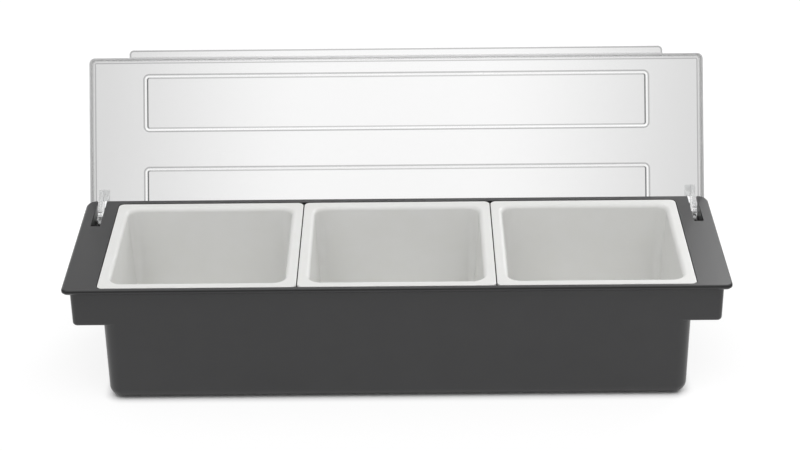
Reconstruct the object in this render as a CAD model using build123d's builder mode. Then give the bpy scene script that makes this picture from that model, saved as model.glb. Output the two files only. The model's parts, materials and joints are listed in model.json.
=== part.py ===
from build123d import *
from math import atan2, cos, degrees, hypot, radians, sin, sqrt
import os

# Bar garnish tray: a moulded housing with three lift-out inserts under a hinged clear lid.
# Millimetres. +Z is up, the front faces -Y, and the origin is under the middle of the base.
# The lid stands open, as it does in use.

# Overall sizes
rim_length = 485.0
rim_depth = 150.0
height = 95.8

# Housing rim
rim_thickness = 3.8
rim_edge_chamfer = 1.2
rim_front_radius = 5.0
rim_back_radius = 8.0
rim_overhang = 5.2          # rim beyond the walls

# Housing walls
wall = 2.6
floor_thickness = 2.8
draft = 0.7                 # degrees, narrowing downwards
ear_corner_radius = 4.0
tub_corner_radius = 11.0
base_edge_radius = 9.0
cove = 4.5                  # slanted edge round the tub's floor
ear_drop = 32.4             # from the rim's top to the ears' lower edge
ear_reach = 21.6            # ears beyond the tub's end walls
ear_edge_radius = 2.6

# Inserts
insert_count = 3
insert_gap = 0.7            # between neighbouring flanges
ice_gap = 9.2               # from the tub's floor to the inserts
insert_wall = 2.0
insert_floor = 2.2
flange_thickness = 2.0
flange_width = 6.6          # flange beyond the insert's own wall
flange_seat = 4.0           # flange over the tub's front and end walls
flange_seat_back = 1.0      # flange over the tub's back wall
flange_corner_radius = 4.5
flange_edge_chamfer = 0.6
insert_corner_radius = 13.0
insert_taper = 2.4          # degrees
insert_base_chamfer = 5.0
insert_cove = 4.0           # slanted edge round the insert's floor
mouth_chamfer = 1.5
recess_clearance = 0.4      # around the row of flanges

# Hinge pivots, saddles and slots
pin_radius = 2.0
pin_clearance = 0.05
pivot_back = 17.3           # pin axis in front of the rim's back edge
pivot_drop = 12.7           # pin axis below the rim's top
slot_width = 7.3
slot_length = 45.0          # from the rim's back edge
slot_corner_radius = 1.0
side_clearance = 0.35
cheek_thickness = 2.0
cheek_front = 9.0           # cheek in front of the pin axis
saddle_thickness = 1.6
saddle_half_width = 4.5
saddle_drop = 9.5           # saddle below the pin axis
saddle_rise = 1.2           # saddle above the pin axis

# Lid
lid_open_angle = 116.9      # degrees from closed
lid_end_inset = 1.3         # skirt inside the rim's ends
lid_front_inset = 1.5       # skirt inside the rim's front edge
lid_back_inset = 5.0        # sheet inside the rim's back edge
lid_rise = 8.5              # sheet's underside above the rim when closed
lid_gap = 0.3               # skirt above the rim when closed
sheet_thickness = 1.8
skirt_draft = 2.0           # degrees
lid_corner_radius = 4.5
lid_edge_radius = 3.0
lip_end_margin = 31.6       # lip short of the skirt's ends
lip_reach = 6.1
lip_thickness = 1.8
lip_corner_radius = 3.5
swing_clearance = 0.3       # from the swinging side skirts to the rim

# Raised panels of the lid
panel_end_margin = 41.7
panel_margin = 12.5         # from the lid's front and back edges
panel_gap = 28.3            # between the two panels
panel_rise = 1.4
panel_slope = 2.4
panel_corner_radius = 4.2

# Hinge clips under the lid
arm_thickness = 3.1
eye_radius = 4.6
arm_root_front = 27.8       # in front of the pin axis when closed
arm_root_back = 8.0
arm_front_drop = 5.0
throat_forward = 7.0
throat_rise = 6.6
arm_lap_clearance = 0.6     # from the plate round the eye to the back wall
arm_relief = 1.7            # from the saddles' sides to the arm plate
arm_corner_radius = 3.0
foot_width = 7.3
foot_length = 9.0
foot_thickness = 1.6
window_width = 4.0
window_length = 12.0
window_radius = 0.8

overrun = 2.0

# Heights and planes that follow from the sizes above
rim_bottom = height - rim_thickness
ear_bottom = height - ear_drop
ledge = height - flange_thickness
body_depth = rim_depth - 2 * rim_overhang
ear_length = rim_length - 2 * rim_overhang
tub_length = ear_length - 2 * ear_reach
row_length = tub_length - 2 * wall + 2 * flange_seat
insert_length = (row_length - (insert_count - 1) * insert_gap) / insert_count
insert_pitch = insert_length + insert_gap
insert_depth = body_depth - 2 * wall + flange_seat + flange_seat_back
insert_y = (flange_seat_back - flange_seat) / 2
insert_height = height - floor_thickness - ice_gap
slot_outer = ear_length / 2 - wall
slot_inner = slot_outer - slot_width
slot_front = rim_depth / 2 - slot_length
wall_back = body_depth / 2 - wall

# The lid's own frame: origin on the pin axis, and as the closed lid lies, X to the right,
# Y to the back and Z up
pivot_y = rim_depth / 2 - pivot_back
pivot_z = height - pivot_drop
lean = radians(lid_open_angle - 90)
lid_frame = Plane(origin=(0, pivot_y, pivot_z), x_dir=(1, 0, 0), z_dir=(0, cos(lean), -sin(lean)))
lid_up = Axis(lid_frame.origin, lid_frame.z_dir)
lid_back = Axis(lid_frame.origin, lid_frame.y_dir)
side_frame = Plane(origin=lid_frame.origin, x_dir=lid_frame.y_dir, z_dir=(1, 0, 0))
upright_frame = Plane(origin=lid_frame.origin, x_dir=(0, 1, 0), z_dir=(1, 0, 0))

sheet_under = pivot_drop + lid_rise
sheet_top = sheet_under + sheet_thickness
skirt_bottom = pivot_drop + lid_gap
lid_length = rim_length - 2 * lid_end_inset
lid_depth = rim_depth - lid_front_inset - lid_back_inset
lid_front = -(rim_depth / 2 - lid_front_inset) - pivot_y
lid_rear = lid_front + lid_depth
lid_middle = (lid_front + lid_rear) / 2
lip_length = lid_length - 2 * lip_end_margin
panel_length = lid_length - 2 * panel_end_margin
panel_width = (lid_depth - 2 * panel_margin - panel_gap) / 2

# Relief in the side skirts round the pin axis, past the rim's rounded back corners
corner_reach = rim_back_radius - lid_end_inset - sheet_thickness
corner_depth = rim_back_radius - sqrt(rim_back_radius ** 2 - corner_reach ** 2)
swing_radius = hypot(pivot_back - corner_depth, pivot_drop) + swing_clearance

# The arm's outline in the lid's frame: its back edge runs from the eye to the sheet
eye_shoulder = eye_radius * sin(radians(45))
arm_points = [
    (-arm_root_front, sheet_under),
    (-arm_root_front, sheet_under - arm_front_drop),
    (-throat_forward, throat_rise),
    (-eye_radius, 0),
    (eye_shoulder, eye_shoulder),
    (-arm_root_back, sheet_under),
]
arm_outer = slot_outer - side_clearance
arm_inner = arm_outer - arm_thickness
eye_inner = slot_inner + saddle_thickness + side_clearance
eye_thickness = slot_width - 2 * saddle_thickness - 2 * side_clearance
arm_lap_radius = wall_back - pivot_y - arm_lap_clearance
arm_relief_radius = saddle_half_width + arm_relief

# Where the open arm's back edge crosses the inside of the back wall
edge_low = side_frame.from_local_coords((eye_shoulder, eye_shoulder, 0))
edge_high = side_frame.from_local_coords((-arm_root_back, sheet_under, 0))
edge_slope = (edge_high.Z - edge_low.Z) / (edge_high.Y - edge_low.Y)
arm_rest = edge_low.Z + (wall_back - edge_low.Y) * edge_slope - side_clearance


# Space inside the tub, with a straight mouth through the rim
with BuildPart() as cavity:
    with BuildSketch(Plane.XY.offset(rim_bottom)):
        RectangleRounded(tub_length - 2 * wall, body_depth - 2 * wall, tub_corner_radius - wall)
    extrude(amount=floor_thickness - rim_bottom, taper=draft)
    chamfer(cavity.faces().sort_by(Axis.Z)[0].edges(), cove)
    extrude(cavity.faces().sort_by(Axis.Z)[-1], amount=rim_thickness)

with BuildPart() as housing:
    # Rim plate
    with BuildSketch(Plane.XY.offset(rim_bottom)) as rim_outline:
        Rectangle(rim_length, rim_depth)
        fillet(rim_outline.vertices().group_by(Axis.Y)[0], rim_front_radius)
        fillet(rim_outline.vertices().group_by(Axis.Y)[-1], rim_back_radius)
    extrude(amount=rim_thickness)
    chamfer(housing.faces().filter_by(Axis.Z).edges(), rim_edge_chamfer)

    # Upper body with its two ears, open underneath
    with BuildSketch(Plane.XY.offset(rim_bottom)):
        RectangleRounded(ear_length, body_depth, ear_corner_radius)
    extrude(amount=ear_bottom - rim_bottom, taper=draft)
    fillet(housing.edges().filter_by(Axis.Y).group_by(Axis.Z)[0], ear_edge_radius)
    with BuildSketch(Plane.XY.offset(rim_bottom)):
        Rectangle(ear_length - 2 * wall, body_depth - 2 * wall)
    extrude(amount=ear_bottom - rim_bottom - overrun, taper=draft, mode=Mode.SUBTRACT)

    # Tub, down to the base
    with BuildSketch(Plane.XY.offset(rim_bottom)):
        RectangleRounded(tub_length, body_depth, tub_corner_radius)
    extrude(amount=-rim_bottom, taper=draft)
    fillet(housing.faces().sort_by(Axis.Z)[0].edges(), base_edge_radius)

    # Tub cavity, and the ledge in the rim that carries the insert flanges
    add(cavity.part, mode=Mode.SUBTRACT)
    with BuildSketch(Plane.XY.offset(ledge)):
        with Locations((0, insert_y)):
            RectangleRounded(row_length + 2 * recess_clearance,
                             insert_depth + 2 * recess_clearance,
                             flange_corner_radius + recess_clearance)
    extrude(amount=flange_thickness, mode=Mode.SUBTRACT)

    # Slots for the hinge arms, open at the rim's back edge
    with BuildSketch(Plane.XY.offset(rim_bottom)):
        for side in (-1, 1):
            with Locations((side * (slot_inner + slot_width / 2), slot_front)):
                RectangleRounded(slot_width, slot_length + overrun, slot_corner_radius,
                                 align=(Align.CENTER, Align.MIN))
    extrude(amount=rim_thickness, mode=Mode.SUBTRACT)

    # Way through the back wall where the open arms rest
    with BuildSketch(Plane.XY.offset(arm_rest)):
        for side in (-1, 1):
            with Locations((side * (eye_inner - side_clearance + slot_outer) / 2, wall_back - overrun)):
                Rectangle(slot_outer - eye_inner + side_clearance, wall + 2 * overrun,
                          align=(Align.CENTER, Align.MIN))
    extrude(amount=rim_bottom - arm_rest, mode=Mode.SUBTRACT)

    # Cheek plate beside each slot, hanging from the rim
    with BuildSketch(Plane.XY.offset(rim_bottom)):
        for side in (-1, 1):
            with Locations((side * (slot_inner - cheek_thickness / 2), pivot_y - cheek_front)):
                Rectangle(cheek_thickness, wall_back - pivot_y + cheek_front,
                          align=(Align.CENTER, Align.MIN))
    extrude(amount=pivot_z - saddle_drop - rim_bottom)

    # Open saddles on the cheek and on the ear's end wall
    with BuildSketch(Plane.XY.offset(pivot_z - saddle_drop)):
        for side in (-1, 1):
            with Locations((side * (slot_inner + saddle_thickness / 2), pivot_y)):
                Rectangle(saddle_thickness, 2 * saddle_half_width)
            with Locations((side * (slot_outer - saddle_thickness / 2 + wall / 4), pivot_y)):
                Rectangle(saddle_thickness + wall / 2, 2 * saddle_half_width)
    extrude(amount=saddle_drop + saddle_rise)
    with BuildSketch(upright_frame) as saddle_cut:
        Circle(pin_radius + pin_clearance)
        with Locations(Rotation(0, 0, 180 - lid_open_angle)):
            Rectangle(saddle_half_width + overrun, 2 * (pin_radius + pin_clearance),
                      align=(Align.MIN, Align.CENTER))
    for side in (-1, 1):
        extrude(saddle_cut.sketch.moved(Location((side * slot_inner, 0, 0))),
                amount=side * slot_width, mode=Mode.SUBTRACT)

# Space inside an insert
with BuildPart() as pocket:
    with BuildSketch(Plane.XY.offset(height)):
        with Locations((0, insert_y)):
            RectangleRounded(insert_length - 2 * flange_width - 2 * insert_wall,
                             insert_depth - 2 * flange_width - 2 * insert_wall,
                             insert_corner_radius - insert_wall)
    extrude(amount=insert_floor - insert_height, taper=insert_taper)
    chamfer(pocket.faces().sort_by(Axis.Z)[0].edges(), insert_cove)

# One insert, a tapered tub with a flat flange, and its two copies
with BuildPart() as insert_centre:
    with BuildSketch(Plane.XY.offset(ledge)):
        with Locations((0, insert_y)):
            RectangleRounded(insert_length, insert_depth, flange_corner_radius)
    extrude(amount=flange_thickness)
    chamfer(insert_centre.faces().sort_by(Axis.Z)[-1].edges(), flange_edge_chamfer)
    with BuildSketch(Plane.XY.offset(ledge)):
        with Locations((0, insert_y)):
            RectangleRounded(insert_length - 2 * flange_width, insert_depth - 2 * flange_width,
                             insert_corner_radius)
    extrude(amount=flange_thickness - insert_height, taper=insert_taper)
    chamfer(insert_centre.faces().sort_by(Axis.Z)[0].edges(), insert_base_chamfer)
    add(pocket.part, mode=Mode.SUBTRACT)
    chamfer(insert_centre.faces().sort_by(Axis.Z)[-1].inner_wires()[0].edges(), mouth_chamfer)

with BuildPart() as insert_left:
    with Locations((-insert_pitch, 0, 0)):
        add(insert_centre.part)

with BuildPart() as insert_right:
    with Locations((insert_pitch, 0, 0)):
        add(insert_centre.part)

# Clear lid: a sheet with a skirt on three sides, a finger lip and two raised panels
with BuildPart() as lid:
    with BuildSketch(lid_frame.offset(skirt_bottom)):
        with Locations((0, lid_middle)):
            RectangleRounded(lid_length, lid_depth, lid_corner_radius)
    extrude(amount=sheet_top - skirt_bottom, taper=skirt_draft)
    fillet(lid.faces().sort_by(lid_up)[-1].edges().sort_by(lid_back)[:-1], lid_edge_radius)
    with BuildSketch(lid_frame.offset(skirt_bottom)) as lid_hollow:
        with Locations((0, lid_front + sheet_thickness)):
            Rectangle(lid_length - 2 * sheet_thickness, lid_depth, align=(Align.CENTER, Align.MIN))
        fillet(lid_hollow.vertices().group_by(Axis.Y)[0], lid_corner_radius - sheet_thickness)
    extrude(amount=sheet_under - skirt_bottom, taper=skirt_draft, mode=Mode.SUBTRACT)

    with BuildSketch(lid_frame.offset(skirt_bottom)) as lip_outline:
        with Locations((0, lid_front - lip_reach)):
            Rectangle(lip_length, lip_reach + sheet_thickness, align=(Align.CENTER, Align.MIN))
        fillet(lip_outline.vertices().group_by(Axis.Y)[0], lip_corner_radius)
    extrude(amount=lip_thickness)

    panel_places = [
        (0, lid_front + panel_margin + panel_width / 2),
        (0, lid_rear - panel_margin - panel_width / 2),
    ]
    for level, mode in ((sheet_top, Mode.ADD), (sheet_under, Mode.SUBTRACT)):
        with BuildSketch(lid_frame.offset(level)):
            with Locations(panel_places):
                RectangleRounded(panel_length, panel_width, panel_corner_radius)
        extrude(amount=panel_rise, taper=degrees(atan2(panel_slope, panel_rise)), mode=mode)

    # The side skirts are relieved where they swing past the rim
    with BuildSketch(side_frame.offset(-rim_length / 2)):
        Circle(swing_radius)
    extrude(amount=rim_length, mode=Mode.SUBTRACT)

    # Windows beside the hinge arms
    with BuildSketch(lid_frame.offset(sheet_under - overrun)):
        for side in (-1, 1):
            with Locations((side * (arm_inner - window_width / 2), foot_length - arm_root_front)):
                RectangleRounded(window_width, window_length, window_radius,
                                 align=(Align.CENTER, Align.MIN))
    extrude(amount=sheet_thickness + 2 * overrun, mode=Mode.SUBTRACT)

# Clear hinge clips: a foot under the sheet, an arm, and an eye round the pin
with BuildPart() as hinge_clip_right:
    with BuildSketch(lid_frame.offset(sheet_under - foot_thickness)):
        with Locations((arm_outer - foot_width / 2, -arm_root_front)):
            Rectangle(foot_width, foot_length, align=(Align.CENTER, Align.MIN))
    extrude(amount=foot_thickness)
    with BuildSketch(side_frame.offset(arm_inner)) as arm_sketch:
        with BuildLine():
            Polyline(arm_points, close=True)
        make_face()
        fillet(arm_sketch.vertices().sort_by(lid_up)[1:3], arm_corner_radius)
        Circle(arm_relief_radius, mode=Mode.SUBTRACT)
    extrude(amount=arm_thickness)
    with BuildSketch(side_frame.offset(eye_inner)):
        with BuildLine():
            Polyline(arm_points, close=True)
        make_face()
        Circle(arm_lap_radius, mode=Mode.INTERSECT)
        Circle(eye_radius)
        Circle(pin_radius + pin_clearance, mode=Mode.SUBTRACT)
    extrude(amount=eye_thickness)

with BuildPart() as hinge_clip_left:
    mirror(hinge_clip_right.part, about=Plane.YZ)

# Hinge pins, one in each pair of saddles
with BuildPart() as pivot_pin_right:
    with BuildSketch(side_frame.offset(slot_inner + side_clearance)):
        Circle(pin_radius)
    extrude(amount=slot_width - 2 * side_clearance)

with BuildPart() as pivot_pin_left:
    mirror(pivot_pin_right.part, about=Plane.YZ)

pieces = {
    "housing": housing,
    "insert_left": insert_left,
    "insert_centre": insert_centre,
    "insert_right": insert_right,
    "lid": lid,
    "hinge_clip_left": hinge_clip_left,
    "hinge_clip_right": hinge_clip_right,
    "pivot_pin_left": pivot_pin_left,
    "pivot_pin_right": pivot_pin_right,
}
os.makedirs("parts", exist_ok=True)
for name, piece in pieces.items():
    piece.part.label = name
    export_step(piece.part, f"parts/{name}.step")
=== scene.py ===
import bpy
import json
import math
import numpy as np
from mathutils import Matrix, Vector


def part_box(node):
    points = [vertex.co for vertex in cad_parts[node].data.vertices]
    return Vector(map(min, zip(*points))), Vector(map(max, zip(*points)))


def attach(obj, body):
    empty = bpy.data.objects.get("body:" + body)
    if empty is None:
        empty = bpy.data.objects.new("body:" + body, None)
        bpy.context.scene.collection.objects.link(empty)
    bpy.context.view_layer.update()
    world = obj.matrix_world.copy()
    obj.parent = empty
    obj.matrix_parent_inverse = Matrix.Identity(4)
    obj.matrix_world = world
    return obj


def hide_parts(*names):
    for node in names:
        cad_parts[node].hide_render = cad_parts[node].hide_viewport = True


# Bar garnish tray on a white studio floor, lid open
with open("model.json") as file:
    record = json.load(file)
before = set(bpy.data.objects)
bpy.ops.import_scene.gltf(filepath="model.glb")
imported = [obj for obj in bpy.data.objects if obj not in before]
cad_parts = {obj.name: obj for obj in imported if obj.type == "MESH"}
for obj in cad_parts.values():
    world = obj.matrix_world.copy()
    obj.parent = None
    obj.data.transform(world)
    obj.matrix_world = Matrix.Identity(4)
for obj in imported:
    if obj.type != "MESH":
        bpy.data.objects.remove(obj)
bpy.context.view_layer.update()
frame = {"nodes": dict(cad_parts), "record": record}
nodes = frame["nodes"]
mm = 0.001

# The camera as fitted to the edges of the tray
view = {
    "imageWidth": 800,
    "focalPixels": 2080.0,
    "sensorWidth": 36.0,
    "pitch": 0.46202,       # radians below level
    "yaw": -0.00569,        # radians to the right
    "roll": -0.01127,
    "place": (0.01048, -1.39512, 0.80375),
    "reach": 20.0,
}


def makeCamera():
    forward = Vector((math.sin(view["yaw"]) * math.cos(view["pitch"]),
                      math.cos(view["yaw"]) * math.cos(view["pitch"]),
                      -math.sin(view["pitch"])))
    right = Vector((math.cos(view["yaw"]), -math.sin(view["yaw"]), 0))
    up = right.cross(forward)
    across = math.cos(view["roll"]) * right + math.sin(view["roll"]) * up
    upward = math.cos(view["roll"]) * up - math.sin(view["roll"]) * right
    data = bpy.data.cameras.new("photoCamera")
    data.sensor_width = view["sensorWidth"]
    data.lens = view["focalPixels"] * view["sensorWidth"] / view["imageWidth"]
    data.clip_end = view["reach"]
    camera = bpy.data.objects.new("photoCamera", data)
    bpy.context.scene.collection.objects.link(camera)
    turn = Matrix((across, upward, -forward)).transposed()
    camera.matrix_world = Matrix.Translation(Vector(view["place"])) @ turn.to_4x4()
    bpy.context.scene.camera = camera


makeCamera()
print("camera placed")


def linearColour(hexCode):
    # sRGB hex to linear red, green, blue, alpha
    parts = [int(hexCode[i:i + 2], 16) / 255 for i in (1, 3, 5)]
    return tuple(c / 12.92 if c < 0.04045 else ((c + 0.055) / 1.055) ** 2.4 for c in parts) + (1.0,)


def addNode(tree, kind, settings=None, links=None):
    # adds a node with its properties and socket values by name or number, and links its inputs
    node = tree.nodes.new(kind)
    settings = settings or {}
    sockets = [k for k in settings if isinstance(k, int) or k in node.inputs]
    for key in settings:
        if key not in sockets:
            setattr(node, key, settings[key])
    for key in sockets:
        node.inputs[key].default_value = settings[key]
    for key, source in (links or {}).items():
        tree.links.new(source, node.inputs[key])
    return node


def newMaterial(name):
    material = bpy.data.materials.new(name)
    material.use_nodes = True
    tree = material.node_tree
    tree.nodes.clear()
    return material, tree


def objectPlace(tree):
    # place on the tray in metres
    return addNode(tree, "ShaderNodeTexCoord").outputs["Object"]


def finishMaterial(tree, shader):
    addNode(tree, "ShaderNodeOutputMaterial", links={"Surface": shader.outputs[0]})


def setMaterial(piece, material):
    piece.data.materials.clear()
    piece.data.materials.append(material)


def smoothly(low, high, start=0.0, end=1.0):
    # settings for a smooth change from the start to the end, between two sizes in mm
    return {"interpolation_type": "SMOOTHSTEP", "From Min": low * mm, "From Max": high * mm,
            "To Min": start, "To Max": end}


def lineMask(tree, distance, at, half, strength):
    # full strength on the line at that distance, falling to zero over its half width. Sizes in mm
    offset = addNode(tree, "ShaderNodeMath", {"operation": "SUBTRACT", 1: at * mm}, {0: distance})
    away = addNode(tree, "ShaderNodeMath", {"operation": "ABSOLUTE"}, {0: offset.outputs[0]})
    return addNode(tree, "ShaderNodeMapRange", smoothly(0.0, half, strength, 0.0),
                   {"Value": away.outputs[0]}).outputs[0]


def strongest(tree, masks):
    # the highest of some values at each point
    total = masks[0]
    for mask in masks[1:]:
        total = addNode(tree, "ShaderNodeMath", {"operation": "MAXIMUM"}, {0: total, 1: mask}).outputs[0]
    return total


def finishClear(tree, shader, tint):
    # lamps and scattered light go through a clear piece, so that what lies behind it stays lit
    path = addNode(tree, "ShaderNodeLightPath")
    passing = strongest(tree, [path.outputs["Is Shadow Ray"], path.outputs["Is Diffuse Ray"]])
    gap = addNode(tree, "ShaderNodeBsdfTransparent", {"Color": linearColour(tint)})
    links = {0: passing, 1: shader.outputs[0], 2: gap.outputs[0]}
    finishMaterial(tree, addNode(tree, "ShaderNodeMixShader", links=links))


# ABS, injection moulded in a fine spark-eroded tool: near black, satin, with an even fine grain
housingAbs = {
    "colour": "#2a2a2b",
    "colourDull": "#303031",
    "roughness": 0.27,
    "roughnessDull": 0.35,
    "ior": 1.5,
    "shadeLineDrop": 1.05,    # mm from the rim's top to the painted shade line round its edge
    "shadeLineHalf": 0.95,
    "shadeLineColour": "#030303",
    "shadeLineRoughness": 0.8,
    "grain": 0.45,          # mm, drawn coarser than the tool's 0.1 so that it shows
    "grainDepth": 0.006,    # mm
    "mottle": 24.0,         # mm, slow change in gloss along the melt's flow
    "mottleDetail": 3.0,
}


def mouldedAbs():
    material, tree = newMaterial("mouldedAbs")
    place = objectPlace(tree)
    mottle = addNode(tree, "ShaderNodeTexNoise",
                     {"Scale": 1 / (housingAbs["mottle"] * mm), "Detail": housingAbs["mottleDetail"]},
                     {"Vector": place}).outputs["Fac"]
    grain = addNode(tree, "ShaderNodeTexNoise", {"Scale": 1 / (housingAbs["grain"] * mm)},
                    {"Vector": place}).outputs["Fac"]
    colour = addNode(tree, "ShaderNodeMix", {"data_type": "RGBA", 6: linearColour(housingAbs["colour"]),
                                             7: linearColour(housingAbs["colourDull"])}, {0: mottle})
    gloss = addNode(tree, "ShaderNodeMapRange", {"To Min": housingAbs["roughness"],
                                                 "To Max": housingAbs["roughnessDull"]}, {"Value": mottle})
    height = addNode(tree, "ShaderNodeSeparateXYZ", links={0: place}).outputs["Z"]
    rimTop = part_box("housing")[1].z / mm
    # painted shade: a dark, dull line round the rim's edge stands in for the shadow and dark reflection
    # under the rim's lip
    paintedShadeLine = lineMask(tree, height, rimTop - housingAbs["shadeLineDrop"], housingAbs["shadeLineHalf"], 1.0)
    colour = addNode(tree, "ShaderNodeMix",
                     {"data_type": "RGBA", 7: linearColour(housingAbs["shadeLineColour"])},
                     {0: paintedShadeLine, 6: colour.outputs[2]})
    gloss = addNode(tree, "ShaderNodeMapRange", {"To Max": housingAbs["shadeLineRoughness"]},
                    {"Value": paintedShadeLine, "To Min": gloss.outputs[0]})
    bump = addNode(tree, "ShaderNodeBump", {"Strength": 1.0, "Distance": housingAbs["grainDepth"] * mm},
                   {"Height": grain})
    shader = addNode(tree, "ShaderNodeBsdfPrincipled", {"IOR": housingAbs["ior"]},
                     {"Base Color": colour.outputs[2], "Roughness": gloss.outputs[0],
                      "Normal": bump.outputs[0]})
    finishMaterial(tree, shader)
    return material


# Polypropylene, injection moulded and polished: waxy white, smooth, a soft wide highlight
insertPp = {
    "colour": "#ececeb",
    "colourWarm": "#e8e8e5",
    "roughness": 0.27,
    "ior": 1.49,
    "ripple": 16.0,         # mm, sink and flow waves
    "rippleDepth": 0.02,    # mm
}


def mouldedPolypropylene():
    material, tree = newMaterial("mouldedPolypropylene")
    place = objectPlace(tree)
    ripple = addNode(tree, "ShaderNodeTexNoise", {"Scale": 1 / (insertPp["ripple"] * mm), "Detail": 1.0},
                     {"Vector": place}).outputs["Fac"]
    colour = addNode(tree, "ShaderNodeMix", {"data_type": "RGBA", 6: linearColour(insertPp["colour"]),
                                             7: linearColour(insertPp["colourWarm"])}, {0: ripple})
    bump = addNode(tree, "ShaderNodeBump", {"Strength": 1.0, "Distance": insertPp["rippleDepth"] * mm},
                   {"Height": ripple})
    shader = addNode(tree, "ShaderNodeBsdfPrincipled", {"Roughness": insertPp["roughness"],
                                                        "IOR": insertPp["ior"]},
                     {"Base Color": colour.outputs[2], "Normal": bump.outputs[0]})
    finishMaterial(tree, shader)
    return material


# Polycarbonate sheet, formed and clear: painted grey shade lines at its bends and painted highlights on its
# panel slopes, its trimmed edges are satin, and painted grey shade grows toward its ends. Sizes in mm
lidPc = {
    "middle": "#f3f3f3",
    "ends": "#cfcfcf",
    "clearHalf": 60.0,      # from the middle to where the painted end shade begins
    "endShadeHalf": 285.0,      # and to where it is full
    # painted highlight on the panels' slopes, lighter than the sheet
    "slope": "#fafafa",
    "shade": "#f6f6f6",     # what each face lets through to the pieces behind
    # painted shade along the sheet's bends
    "bendShade": "#3c3e40",
    "bendHalf": 0.85,       # half of a painted bend shade line's width
    "foot": 0.55,           # how dark the painted bend shade is, at a panel's foot
    "head": 0.45,           # at its raised edge
    "headEnd": 1.15,        # there at the panel's two ends
    "edge": 0.45,
    "lip": 0.55,
    "roughness": 0.01,
    "edgeRoughness": 0.3,
    "edgeWidth": 1.8,
    "edgeClear": 0.35,      # how clear the trimmed edge is
    "ior": 1.585,
    "ripple": 60.0,         # thickness waves left by the forming
    "rippleDepth": 0.03,
    "halfLength": 241.2,
    "front": -131.2,        # edges and panels along the lid, from the hinge
    "back": 12.3,
    "corner": 4.5,
    "edgeBend": 3.4,        # inner painted bend shade line of the lid's edge
    "panelHalfLength": 199.5,
    "panelHalfWidth": 22.55,
    "panelMiddles": (-96.15, -22.75),
    "panelCorner": 4.2,
    "panelSlope": 2.4,
    "lipHalfLength": 209.6,
    "lipReach": 6.1,
    "lipCorner": 3.5,
}


# The open lid's plane, and the direction in it from the hinge to the lid's back edge
hinge = next(joint for joint in frame["record"]["behaviour"]["joints"] if joint["name"] == "lid_hinge")
openAngle = math.radians(-hinge["range_deg"][0])
alongLid = (0, math.cos(openAngle), -math.sin(openAngle))


def lidPlace(tree, place):
    # place in the lid's plane in metres: across the tray, and along the lid from the hinge
    hingeAlong = Vector(hinge["pos_m"]).dot(Vector(alongLid))
    across = addNode(tree, "ShaderNodeSeparateXYZ", links={0: place}).outputs["X"]
    along = addNode(tree, "ShaderNodeVectorMath", {"operation": "DOT_PRODUCT", 1: alongLid}, {0: place})
    along = addNode(tree, "ShaderNodeMath", {"operation": "SUBTRACT", 1: hingeAlong},
                    {0: along.outputs["Value"]}).outputs[0]
    return addNode(tree, "ShaderNodeCombineXYZ", links={"X": across, "Y": along}).outputs[0]


def outlineDistance(tree, flat, middle, half, corner):
    # distance to a rounded rectangle, less than zero inside: with q = |place - middle| - half + corner,
    # it is length(max(q, 0)) + min(max(qx, qy), 0) - corner. Sizes in mm
    centre = (0, middle * mm, 0)
    core = ((half[0] - corner) * mm, (half[1] - corner) * mm, 0)
    moved = addNode(tree, "ShaderNodeVectorMath", {"operation": "SUBTRACT", 1: centre}, {0: flat})
    mirrored = addNode(tree, "ShaderNodeVectorMath", {"operation": "ABSOLUTE"}, {0: moved.outputs[0]})
    past = addNode(tree, "ShaderNodeVectorMath", {"operation": "SUBTRACT", 1: core},
                   {0: mirrored.outputs[0]})
    outer = addNode(tree, "ShaderNodeVectorMath", {"operation": "MAXIMUM"}, {0: past.outputs[0]})
    length = addNode(tree, "ShaderNodeVectorMath", {"operation": "LENGTH"}, {0: outer.outputs[0]})
    parts = addNode(tree, "ShaderNodeSeparateXYZ", links={0: past.outputs[0]})
    nearer = strongest(tree, [parts.outputs["X"], parts.outputs["Y"]])
    inside = addNode(tree, "ShaderNodeMath", {"operation": "MINIMUM", 1: 0.0}, {0: nearer})
    total = addNode(tree, "ShaderNodeMath", {"operation": "ADD"},
                    {0: length.outputs["Value"], 1: inside.outputs[0]})
    return addNode(tree, "ShaderNodeMath", {"operation": "SUBTRACT", 1: corner * mm},
                   {0: total.outputs[0]}).outputs[0]


def lipBendShade(tree, flat, along, middle, halfWidth):
    # painted shade line at the bend round the finger lip, where the lip stands out in front of the lid's
    # edge
    lip = outlineDistance(tree, flat, middle - lidPc["lipReach"], (lidPc["lipHalfLength"], halfWidth),
                          lidPc["lipCorner"])
    line = lineMask(tree, lip, -lidPc["bendHalf"], lidPc["bendHalf"], lidPc["lip"])
    beyond = addNode(tree, "ShaderNodeMapRange",
                     smoothly(lidPc["front"], lidPc["front"] - lidPc["bendHalf"]), {"Value": along})
    return addNode(tree, "ShaderNodeMath", {"operation": "MULTIPLY"},
                   {0: line, 1: beyond.outputs[0]}).outputs[0]


def panelLines(tree, flat, across):
    # painted bend shade at each panel's foot and raised edge, and painted highlights on the slopes between
    # them
    slope = lidPc["panelSlope"]
    halfLength = lidPc["panelHalfLength"]
    nearEnds = smoothly(halfLength - 2 * slope, halfLength - slope, lidPc["head"], lidPc["headEnd"])
    atEnds = addNode(tree, "ShaderNodeMapRange", nearEnds, {"Value": across}).outputs[0]
    bendShadeLines = []
    slopeHighlights = []
    for middle in lidPc["panelMiddles"]:
        panel = outlineDistance(tree, flat, middle, (halfLength, lidPc["panelHalfWidth"]),
                                lidPc["panelCorner"])
        head = lineMask(tree, panel, -slope - lidPc["bendHalf"] / 2, lidPc["bendHalf"], 1.0)
        head = addNode(tree, "ShaderNodeMath", {"operation": "MULTIPLY"}, {0: head, 1: atEnds}).outputs[0]
        bendShadeLines += [lineMask(tree, panel, 0.0, lidPc["bendHalf"], lidPc["foot"]), head]
        # painted highlight along each panel's slope
        slopeHighlights.append(lineMask(tree, panel, -slope / 2, slope / 2, 1.0))
    return bendShadeLines, slopeHighlights


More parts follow.
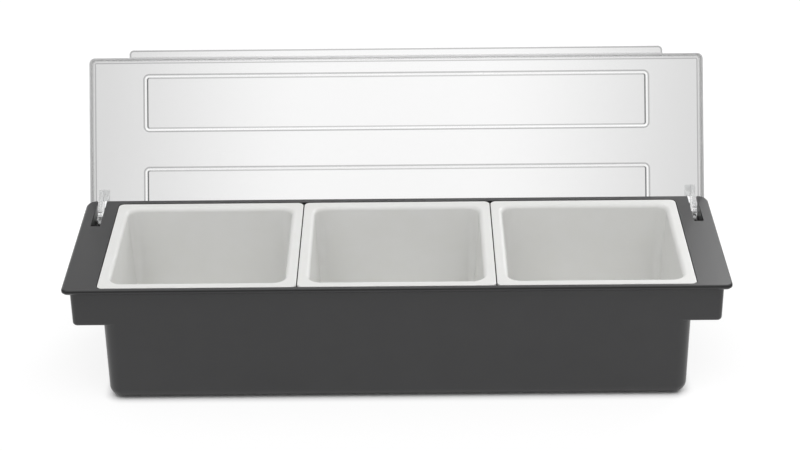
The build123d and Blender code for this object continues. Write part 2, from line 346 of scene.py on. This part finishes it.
def clearPolycarbonate():
    material, tree = newMaterial("clearPolycarbonate")
    place = objectPlace(tree)
    flat = lidPlace(tree, place)
    sides = addNode(tree, "ShaderNodeSeparateXYZ", links={0: flat})
    across = addNode(tree, "ShaderNodeMath", {"operation": "ABSOLUTE"}, {0: sides.outputs["X"]}).outputs[0]
    along = sides.outputs["Y"]
    middle = (lidPc["front"] + lidPc["back"]) / 2
    halfWidth = (lidPc["back"] - lidPc["front"]) / 2
    edge = outlineDistance(tree, flat, middle, (lidPc["halfLength"], halfWidth), lidPc["corner"])
    bendShadeLines, slopeHighlights = panelLines(tree, flat, across)
    bendShadeLines += [lineMask(tree, edge, -lidPc["edgeBend"], lidPc["bendHalf"], lidPc["edge"]),
              lipBendShade(tree, flat, along, middle, halfWidth)]

    # painted grey shade toward the ends, then painted highlights on the slopes, then painted shade at the
    # bends
    # painted shade: the sheet's tint turns greyer toward its ends
    endShade = addNode(tree, "ShaderNodeMapRange", smoothly(lidPc["clearHalf"], lidPc["endShadeHalf"]),
                   {"Value": across}).outputs[0]
    colour = addNode(tree, "ShaderNodeMix", {"data_type": "RGBA", 6: linearColour(lidPc["middle"]),
                                             7: linearColour(lidPc["ends"])}, {0: endShade})
    for tone, masks in (("slope", slopeHighlights), ("bendShade", bendShadeLines)):
        colour = addNode(tree, "ShaderNodeMix", {"data_type": "RGBA", 7: linearColour(lidPc[tone])},
                         {0: strongest(tree, masks), 6: colour.outputs[2]})

    # the satin trimmed edge, and the forming's thickness waves
    onSheet = addNode(tree, "ShaderNodeMapRange",
                      smoothly(lidPc["front"] - lidPc["bendHalf"], lidPc["front"]),
                      {"Value": along}).outputs[0]
    nearEdge = addNode(tree, "ShaderNodeMapRange", smoothly(-lidPc["edgeWidth"], -lidPc["edgeWidth"] / 2),
                       {"Value": edge}).outputs[0]
    trimmed = addNode(tree, "ShaderNodeMath", {"operation": "MULTIPLY"},
                      {0: nearEdge, 1: onSheet}).outputs[0]
    gloss = addNode(tree, "ShaderNodeMapRange",
                    {"To Min": lidPc["roughness"], "To Max": lidPc["edgeRoughness"]},
                    {"Value": trimmed}).outputs[0]
    clear = addNode(tree, "ShaderNodeMapRange", {"To Min": 1.0, "To Max": lidPc["edgeClear"]},
                    {"Value": trimmed}).outputs[0]
    ripple = addNode(tree, "ShaderNodeTexNoise", {"Scale": 1 / (lidPc["ripple"] * mm), "Detail": 1.0},
                     {"Vector": place}).outputs["Fac"]
    bump = addNode(tree, "ShaderNodeBump", {"Strength": 1.0, "Distance": lidPc["rippleDepth"] * mm},
                   {"Height": ripple})
    shader = addNode(tree, "ShaderNodeBsdfPrincipled", {"IOR": lidPc["ior"], "Transmission Weight": 1.0},
                     {"Base Color": colour.outputs[2], "Roughness": gloss, "Transmission Weight": clear,
                      "Normal": bump.outputs[0]})
    finishClear(tree, shader, lidPc["shade"])
    return material


# Polycarbonate, injection moulded: the hinge clips, clear with flow waves and a slightly milky surface
clipPc = {
    "colour": "#f4f5f5",
    "shade": "#f2f2f2",
    "roughness": 0.06,
    "ior": 1.585,
    "wave": 5.0,            # mm
    "waveDepth": 0.02,
}


def mouldedPolycarbonate():
    material, tree = newMaterial("mouldedPolycarbonate")
    wave = addNode(tree, "ShaderNodeTexNoise", {"Scale": 1 / (clipPc["wave"] * mm), "Detail": 1.0},
                   {"Vector": objectPlace(tree)}).outputs["Fac"]
    bump = addNode(tree, "ShaderNodeBump", {"Strength": 1.0, "Distance": clipPc["waveDepth"] * mm},
                   {"Height": wave})
    shader = addNode(tree, "ShaderNodeBsdfPrincipled",
                     {"Base Color": linearColour(clipPc["colour"]), "Roughness": clipPc["roughness"],
                      "IOR": clipPc["ior"], "Transmission Weight": 1.0},
                     {"Normal": bump.outputs[0]})
    finishClear(tree, shader, clipPc["shade"])
    return material


# Acetal, turned: black, hard and slightly shiny, with fine turning marks
pinAcetal = {
    "colour": "#141414",
    "roughness": 0.3,
    "marks": 0.25,          # mm between turning marks
    "markDepth": 0.004,
}


def turnedAcetal():
    material, tree = newMaterial("turnedAcetal")
    marks = addNode(tree, "ShaderNodeTexWave",
                    {"bands_direction": "X", "Scale": 1 / (pinAcetal["marks"] * mm)},
                    {"Vector": objectPlace(tree)}).outputs["Fac"]
    bump = addNode(tree, "ShaderNodeBump", {"Strength": 1.0, "Distance": pinAcetal["markDepth"] * mm},
                   {"Height": marks})
    shader = addNode(tree, "ShaderNodeBsdfPrincipled",
                     {"Base Color": linearColour(pinAcetal["colour"]), "Roughness": pinAcetal["roughness"]},
                     {"Normal": bump.outputs[0]})
    finishMaterial(tree, shader)
    return material


polypropylene = mouldedPolypropylene()
clipMaterial = mouldedPolycarbonate()
pinMaterial = turnedAcetal()
cadMaterials = {
    "housing": mouldedAbs(),
    "lid": clearPolycarbonate(),
    "hinge_clip_left": clipMaterial,
    "hinge_clip_right": clipMaterial,
    "pivot_pin_left": pinMaterial,
    "pivot_pin_right": pinMaterial,
}
for name, material in cadMaterials.items():
    setMaterial(nodes[name], material)
print("materials made")


# Corners of the CAD pieces shade round, while edges sharper than this many degrees stay crisp
smoothing = {"mergeDistance": 1e-6, "sharpAngle": 25.0}


def smoothingGroup():
    group = bpy.data.node_groups.new("smoothCorners", "GeometryNodeTree")
    group.interface.new_socket("Geometry", in_out="INPUT", socket_type="NodeSocketGeometry")
    group.interface.new_socket("Geometry", in_out="OUTPUT", socket_type="NodeSocketGeometry")
    source = addNode(group, "NodeGroupInput").outputs[0]
    merged = addNode(group, "GeometryNodeMergeByDistance", {"Distance": smoothing["mergeDistance"]},
                     {"Geometry": source}).outputs[0]
    angle = addNode(group, "GeometryNodeInputMeshEdgeAngle").outputs[0]
    soft = addNode(group, "FunctionNodeCompare", {"operation": "LESS_THAN",
                                                  1: math.radians(smoothing["sharpAngle"])}, {0: angle})
    faces = addNode(group, "GeometryNodeSetShadeSmooth", {"domain": "FACE"}, {"Geometry": merged})
    edges = addNode(group, "GeometryNodeSetShadeSmooth", {"domain": "EDGE"},
                    {"Geometry": faces.outputs[0], "Shade Smooth": soft.outputs[0]})
    addNode(group, "NodeGroupOutput", links={0: edges.outputs[0]})
    return group


smoothCorners = smoothingGroup()
for name in cadMaterials:
    modifier = nodes[name].modifiers.new("smoothCorners", "NODES")
    modifier.node_group = smoothCorners
print("CAD pieces smoothed")


# One insert: a section carried round a rounded rectangle. Sizes in mm
insert = {
    "wall": 2.0,
    "floor": 2.2,
    "flangeWidth": 6.6,     # flange beyond the insert's own wall
    "flangeThickness": 2.0,
    "flangeCorner": 4.5,
    "wallCorner": 13.0,
    "taper": 2.4,           # degrees
    "mouthRadius": 3.4,
    "mouthCorner": 9.0,     # upright corners inside, at the mouth
    "edgeRadius": 0.8,      # flange's upper edge
    "underRadius": 0.4,     # flange's lower edge
    "neckRadius": 1.0,      # under the flange
    "innerBase": 7.0,
    "outerBase": 8.5,
    "leastCorner": 0.5,     # where the section reaches the middle of a floor
    "arcSteps": 8,
    "cornerSteps": 20,
}


def sectionArc(centre, radius, start, end, corner):
    # points of an arc in the section plane as inset, height and corner radius, which follows the inset
    turn = np.radians(np.linspace(start, end, insert["arcSteps"] + 1))
    inset = centre[0] + radius * np.cos(turn)
    return np.column_stack((inset, centre[1] + radius * np.sin(turn), corner - inset))


def insertSection(depth):
    # the section from the middle of the floor, up the inner wall, over the flange and down to the base;
    # inset is measured inward from the flange's edge, height down from the rim's top
    taper = insert["taper"]
    lean = math.radians(taper)
    floorTop = insert["floor"] - depth
    flangeLow = -insert["flangeThickness"]
    inner = insert["flangeWidth"] + insert["wall"]
    innerCorner = insert["mouthCorner"] + inner
    outerCorner = insert["wallCorner"] + insert["flangeWidth"]

    # insets of the rounds' centres, with each round touching a leaning wall and a level face
    tangentShare = math.tan(math.radians(45) - lean / 2)
    innerRound = insert["innerBase"]
    outerRound = insert["outerBase"]
    innerInset = inner - floorTop * math.tan(lean) + innerRound * tangentShare
    outerInset = insert["flangeWidth"] + depth * math.tan(lean) + outerRound * tangentShare
    mouth = insert["mouthRadius"]
    mouthInset = inner - mouth * tangentShare
    edge = insert["edgeRadius"]
    under = insert["underRadius"]
    neck = insert["neckRadius"]
    flangeCorner = insert["flangeCorner"]
    rows = [
        [[innerInset + innerRound, floorTop, insert["leastCorner"]]],
        sectionArc((innerInset, floorTop + innerRound), innerRound, 270, 180 + taper, innerCorner),
        sectionArc((mouthInset, -mouth), mouth, taper, 90, innerCorner),
        sectionArc((edge, -edge), edge, 90, 180, flangeCorner),
        sectionArc((under, flangeLow + under), under, 180, 270, flangeCorner),
        sectionArc((insert["flangeWidth"] - neck, flangeLow - neck), neck, 90, taper, outerCorner),
        sectionArc((outerInset, outerRound - depth), outerRound, 180 + taper, 270, outerCorner),
        [[outerInset + outerRound, -depth, insert["leastCorner"]]],
    ]
    return np.vstack(rows)


def carriedRound(section, half, centre, top):
    # each section point becomes a level rounded rectangle: its corner's centre plus radius * (cos, sin)
    steps = insert["cornerSteps"] + 1
    quarters = [np.linspace(90 * k, 90 * k + 90, steps) for k in range(4)]
    turn = np.radians(np.concatenate(quarters))
    signX = np.repeat([1, -1, -1, 1], steps)
    signY = np.repeat([1, 1, -1, -1], steps)
    inset, height, radius = (section[:, i:i + 1] for i in range(3))
    radius = np.maximum(radius, insert["leastCorner"])
    x = signX * (half[0] - inset - radius) + radius * np.cos(turn)
    y = signY * (half[1] - inset - radius) + radius * np.sin(turn)
    z = np.broadcast_to(height, x.shape)
    points = np.stack((x, y, z), axis=-1) * mm
    return points + np.array([centre[0], centre[1], top])


def closedMesh(name, points):
    # quads between neighbouring rings, and one flat face inside the first ring and the last
    rings, count = points.shape[:2]
    ring = np.arange(count)
    row = np.arange(rings - 1)[:, None] * count
    after = np.roll(ring, -1)
    quads = np.stack((row + ring, row + after, row + count + after, row + count + ring), axis=-1)
    faces = quads.reshape(-1, 4)[:, ::-1].tolist()
    faces.append(ring.tolist())
    faces.append((ring + (rings - 1) * count)[::-1].tolist())
    mesh = bpy.data.meshes.new(name)
    mesh.from_pydata(points.reshape(-1, 3).tolist(), [], faces)
    mesh.shade_smooth()
    return mesh


def makeInsert(nodeName, pieceName, body):
    low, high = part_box(nodeName)
    half = ((high.x - low.x) / 2 / mm, (high.y - low.y) / 2 / mm)
    section = insertSection((high.z - low.z) / mm)
    points = carriedRound(section, half, ((low.x + high.x) / 2, (low.y + high.y) / 2), high.z)
    mesh = closedMesh(pieceName, points)
    piece = bpy.data.objects.new(pieceName, mesh)
    bpy.context.scene.collection.objects.link(piece)
    setMaterial(piece, polypropylene)
    piece.modifiers.new("flatWalls", "WEIGHTED_NORMAL")
    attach(piece, body)
    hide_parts(nodeName)


for name in ("left", "centre", "right"):
    makeInsert("insert_" + name, "insert_" + name + "_moulded", "insert_" + name)
print("inserts made")


# White studio floor, lit by a pale room with a bright softbox overhead in front, and a soft lamp behind
# on the right
studio = {
    "floorHalf": 8.0,       # m
    "floorColour": "#f4f4f4",
    "floorWhite": 1.12,     # what the camera, gloss and glass see of the floor, mixed with its shaded colour
    "whiteShare": 0.72,
    "baseHalf": (214.6, 68.7),      # mm, the tray's base: under it the floor is only shaded
    "baseCorner": 10.0,
    "underStart": -5.0,     # mm from the base's edge, where the white begins and is full
    "underEnd": 6.0,
    "roomLevel": 0.576,     # what lights the tray
    "whiteLevel": 0.8,      # what gloss and glass see of the room
    "skyLevel": 1.0,        # what the camera sees past the floor
    "softboxLevel": 2.24,
    "softboxAhead": (0.1, -0.15),   # its soft edges, in the direction's Y and Z
    "softboxAbove": (0.7, 0.85),
    "lampPlace": (0.85, 1.15, 0.75),
    "lampAim": (0.1, 0.0, 0.05),
    "lampWidth": 0.8,
    "lampHeight": 0.6,
    "lampPower": 6.2,       # W
}


def seenRays(tree):
    # one for rays from the camera, through glass or off gloss, else zero
    path = addNode(tree, "ShaderNodeLightPath")
    kinds = ("Is Camera Ray", "Is Glossy Ray", "Is Transmission Ray")
    return strongest(tree, [path.outputs[kind] for kind in kinds])


def makeFloor():
    material, tree = newMaterial("matteWhiteVinyl")
    # painted contact shadow, over real shade: the white is held back near the base's edge, so the floor's
    # own shading shows darker there
    base = outlineDistance(tree, objectPlace(tree), 0.0, studio["baseHalf"], studio["baseCorner"])
    around = smoothly(studio["underStart"], studio["underEnd"], 0.0, studio["whiteShare"])
    around = addNode(tree, "ShaderNodeMapRange", around, {"Value": base}).outputs[0]
    white = addNode(tree, "ShaderNodeMath", {"operation": "MULTIPLY"}, {0: around, 1: seenRays(tree)})
    diffuse = addNode(tree, "ShaderNodeBsdfDiffuse", {"Color": linearColour(studio["floorColour"])})
    glow = addNode(tree, "ShaderNodeEmission", {"Strength": studio["floorWhite"]})
    links = {0: white.outputs[0], 1: diffuse.outputs[0], 2: glow.outputs[0]}
    finishMaterial(tree, addNode(tree, "ShaderNodeMixShader", links=links))
    half = studio["floorHalf"]
    corners = [(-half, -half, 0), (half, -half, 0), (half, half, 0), (-half, half, 0)]
    mesh = bpy.data.meshes.new("studioFloor")
    mesh.from_pydata(corners, [], [(0, 1, 2, 3)])
    floor = bpy.data.objects.new("studioFloor", mesh)
    bpy.context.scene.collection.objects.link(floor)
    mesh.materials.append(material)


def makeRoom():
    world = bpy.data.worlds.new("studioRoom")
    bpy.context.scene.world = world
    world.use_nodes = True
    tree = world.node_tree
    tree.nodes.clear()
    direction = addNode(tree, "ShaderNodeTexCoord").outputs["Generated"]
    parts = addNode(tree, "ShaderNodeSeparateXYZ", links={0: direction})
    edges = []
    for axis, (start, end) in (("Y", studio["softboxAhead"]), ("Z", studio["softboxAbove"])):
        settings = {"interpolation_type": "SMOOTHSTEP", "From Min": start, "From Max": end}
        edge = addNode(tree, "ShaderNodeMapRange", settings, {"Value": parts.outputs[axis]})
        edges.append(edge.outputs[0])
    softbox = addNode(tree, "ShaderNodeMath", {"operation": "MULTIPLY"}, {0: edges[0], 1: edges[1]})

    # the room's level, then the softbox's where it is, then plain white for the camera
    level = addNode(tree, "ShaderNodeMapRange",
                    {"To Min": studio["roomLevel"], "To Max": studio["whiteLevel"]},
                    {"Value": seenRays(tree)}).outputs[0]
    level = addNode(tree, "ShaderNodeMapRange", {"To Max": studio["softboxLevel"]},
                    {"Value": softbox.outputs[0], "To Min": level}).outputs[0]
    direct = addNode(tree, "ShaderNodeLightPath").outputs["Is Camera Ray"]
    level = addNode(tree, "ShaderNodeMapRange", {"To Max": studio["skyLevel"]},
                    {"Value": direct, "To Min": level}).outputs[0]
    background = addNode(tree, "ShaderNodeBackground", {"Color": linearColour("#ffffff")},
                         {"Strength": level})
    addNode(tree, "ShaderNodeOutputWorld", links={"Surface": background.outputs[0]})


def makeLamp():
    data = bpy.data.lights.new("softLamp", "AREA")
    data.shape = "RECTANGLE"
    data.size = studio["lampWidth"]
    data.size_y = studio["lampHeight"]
    data.energy = studio["lampPower"]
    lamp = bpy.data.objects.new("softLamp", data)
    bpy.context.scene.collection.objects.link(lamp)
    place = Vector(studio["lampPlace"])
    turn = (Vector(studio["lampAim"]) - place).to_track_quat("-Z", "Y")
    lamp.matrix_world = Matrix.Translation(place) @ turn.to_matrix().to_4x4()
    lamp.visible_camera = False
    lamp.visible_transmission = False


makeFloor()
makeRoom()
makeLamp()
bpy.context.scene.view_settings.view_transform = "Standard"
print("studio lit")
